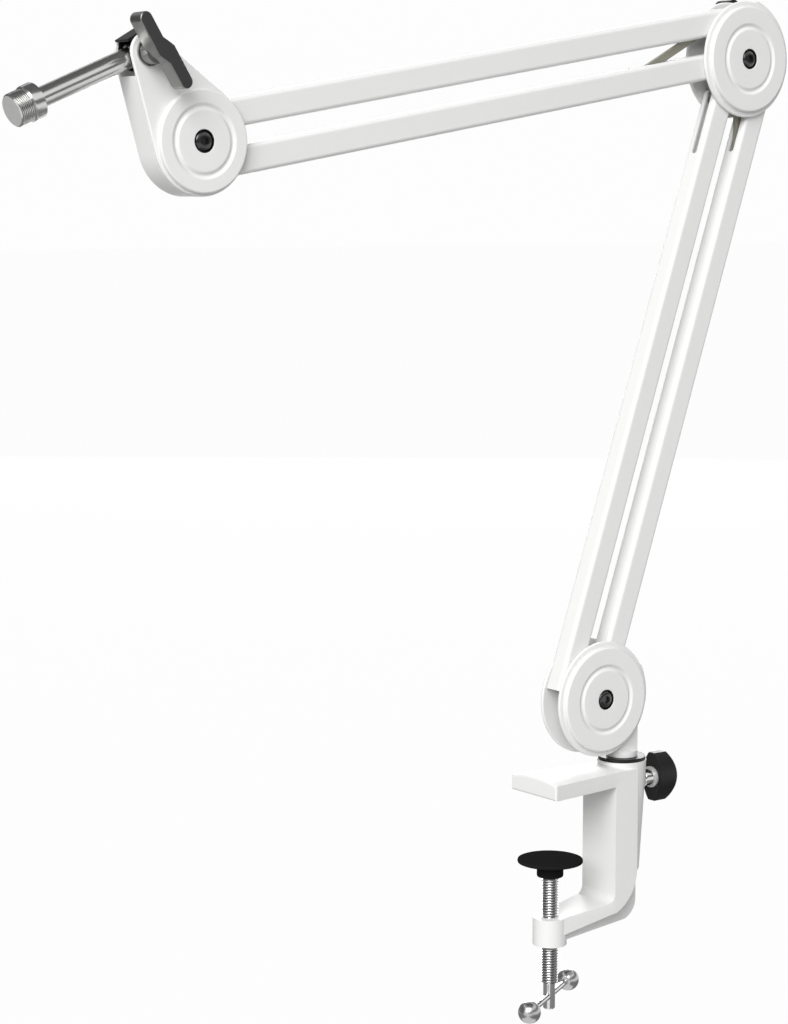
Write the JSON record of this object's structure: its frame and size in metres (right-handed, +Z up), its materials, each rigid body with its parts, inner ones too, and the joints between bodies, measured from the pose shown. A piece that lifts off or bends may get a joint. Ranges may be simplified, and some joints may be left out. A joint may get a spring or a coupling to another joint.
{
  "type": "microphone boom arm",
  "caption": "White desk-clamped microphone boom arm: swivelling base, parallel-bar arms with covered joints, and a tilting threaded stud",
  "frame": {"origin": "underside of the clamp's upper jaw, on the axis of the clamp screw", "axes": "+Z up, +X from the clamp screw towards the clamp's spine, arm folded in the XZ plane and seen from -Y"},
  "size_m": [0.4948, 0.0489, 0.5564],
  "materials": {
    "cast_white": "powder coat over a casting",
    "white_tube": "satin white paint",
    "white_plate": "satin white paint",
    "black_moulding": "fine-grained black moulding",
    "bright_chrome": "polished plating",
    "zinc_steel": "zinc plated, turned",
    "strap_steel": "dull rolled strip",
    "spring_steel": "drawn wire",
    "dark_screw": "blackened steel"
  },
  "bodies": {
    "clamp": {"clamp_frame": "cast_white", "socket_bush": "black_moulding"},
    "lock_knob": {"lock_screw": "bright_chrome", "lock_wing": "black_moulding"},
    "pad": {"pressure_pad": "black_moulding"},
    "screw": {"clamp_screw": "bright_chrome"},
    "tommy": {"tommy_bar": "bright_chrome", "tommy_balls": "bright_chrome"},
    "base_bracket": {"swivel_post": "white_plate", "post_rivets": "zinc_steel", "base_front_plate": "white_plate", "base_rear_plate": "white_plate", "base_web": "white_plate", "base_front_cover": "white_plate", "base_rear_cover": "white_plate", "base_pivot_pins": "zinc_steel", "base_spacer": "zinc_steel", "base_cover_screws": "dark_screw"},
    "lower_left": {"lower_left_bar": "white_tube"},
    "lower_right": {"lower_right_bar": "white_tube", "lower_spring": "spring_steel", "lower_spring_anchor": "black_moulding"},
    "lower_tie": {"lower_strap": "strap_steel"},
    "elbow": {"elbow_front_plate": "white_plate", "elbow_rear_plate": "white_plate", "elbow_web": "white_plate", "elbow_front_cover": "white_plate", "elbow_rear_cover": "white_plate", "elbow_pivot_pins": "zinc_steel", "elbow_spacer": "zinc_steel", "elbow_cover_screw": "dark_screw"},
    "elbow_tension": {"elbow_lever": "black_moulding", "elbow_lever_bolt": "zinc_steel"},
    "upper_top": {"upper_top_bar": "white_tube"},
    "upper_bottom": {"upper_bottom_bar": "white_tube", "upper_spring": "spring_steel", "upper_spring_anchor": "black_moulding"},
    "upper_tie": {"upper_strap": "strap_steel"},
    "head": {"head_front_plate": "white_plate", "head_rear_shell": "white_plate", "head_front_cover": "white_plate", "head_rear_cover": "white_plate", "head_pivot_pins": "zinc_steel", "head_spacer": "zinc_steel", "head_cover_screws": "dark_screw", "lever_washer": "zinc_steel", "stud_nut": "zinc_steel"},
    "mic_stud": {"stud_rod": "bright_chrome", "thread_tip": "bright_chrome", "friction_clip": "black_moulding"},
    "stud_lock": {"head_lever": "black_moulding", "head_lever_bolt": "zinc_steel"}
  },
  "joints": [
    {"name": "lock_turn", "type": "hinge", "parent": "clamp", "child": "lock_knob", "pos_m": [0.0523, 0, -0.0019], "axis": [1, 0, 0], "continuous": true},
    {"name": "pad_slide", "type": "slide", "parent": "clamp", "child": "pad", "axis": [0, 0, 1], "range_m": [-0.021, 0.022]},
    {"name": "screw_turn", "type": "hinge", "parent": "pad", "child": "screw", "pos_m": [0, 0, -0.08], "axis": [0, 0, 1], "range_deg": [-5060, 5300]},
    {"name": "tommy_slide", "type": "slide", "parent": "screw", "child": "tommy", "axis": [0.8712, 0.4909, 0], "range_m": [-0.022, 0.022]},
    {"name": "base_swivel", "type": "hinge", "parent": "clamp", "child": "base_bracket", "pos_m": [0.0523, 0, 0.02], "axis": [0, 0, 1], "continuous": true},
    {"name": "lower_lift", "type": "hinge", "parent": "base_bracket", "child": "lower_left", "pos_m": [0.0087, 0, 0.0601], "axis": [0, 1, 0], "range_deg": [-28, 22]},
    {"name": "lower_right_lift", "type": "hinge", "parent": "base_bracket", "child": "lower_right", "pos_m": [0.0375, 0, 0.0623], "axis": [0, 1, 0], "range_deg": [-28.5, 22.5]},
    {"name": "elbow_level", "type": "hinge", "parent": "lower_left", "child": "elbow", "pos_m": [0.11856, 0, 0.37647], "axis": [0, 1, 0], "range_deg": [-22.5, 28.5]},
    {"name": "lower_tie_swing", "type": "hinge", "parent": "elbow", "child": "lower_tie", "pos_m": [0.13346, 0, 0.39967], "axis": [0, 1, 0], "range_deg": [-19.5, 15.5]},
    {"name": "elbow_lever_turn", "type": "hinge", "parent": "elbow", "child": "elbow_tension", "pos_m": [0.13346, 0.015, 0.39967], "axis": [0, 1, 0], "continuous": true},
    {"name": "upper_lift", "type": "hinge", "parent": "elbow", "child": "upper_top", "pos_m": [0.11676, 0, 0.41967], "axis": [0, 1, 0], "range_deg": [-30, 45]},
    {"name": "upper_bottom_lift", "type": "hinge", "parent": "elbow", "child": "upper_bottom", "pos_m": [0.11676, 0, 0.39647], "axis": [0, 1, 0], "range_deg": [-30.5, 45.5]},
    {"name": "upper_tie_swing", "type": "hinge", "parent": "elbow", "child": "upper_tie", "pos_m": [0.11676, 0, 0.41967], "axis": [0, 1, 0], "range_deg": [-30.5, 45.5]},
    {"name": "head_level", "type": "hinge", "parent": "upper_top", "child": "head", "pos_m": [-0.21818, 0, 0.36121], "axis": [0, 1, 0], "range_deg": [-45.5, 30.5]},
    {"name": "mic_tilt", "type": "hinge", "parent": "head", "child": "mic_stud", "pos_m": [-0.25698, 0, 0.38966], "axis": [0, 1, 0], "range_deg": [-12, 90]},
    {"name": "head_lever_turn", "type": "hinge", "parent": "head", "child": "stud_lock", "pos_m": [-0.25698, -0.015, 0.38966], "axis": [0, 1, 0], "continuous": true}
  ],
  "couplings": [
    {"joint": "screw_turn", "follows": "pad_slide", "rad_per_m": 4188.8},
    {"joint": "lower_right_lift", "follows": "lower_lift", "ratio": 1},
    {"joint": "elbow_level", "follows": "lower_lift", "ratio": -1},
    {"joint": "lower_tie_swing", "follows": "lower_lift", "ratio": 0.68},
    {"joint": "upper_bottom_lift", "follows": "upper_lift", "ratio": 1},
    {"joint": "upper_tie_swing", "follows": "upper_lift", "ratio": 1},
    {"joint": "head_level", "follows": "upper_lift", "ratio": -1}
  ]
}
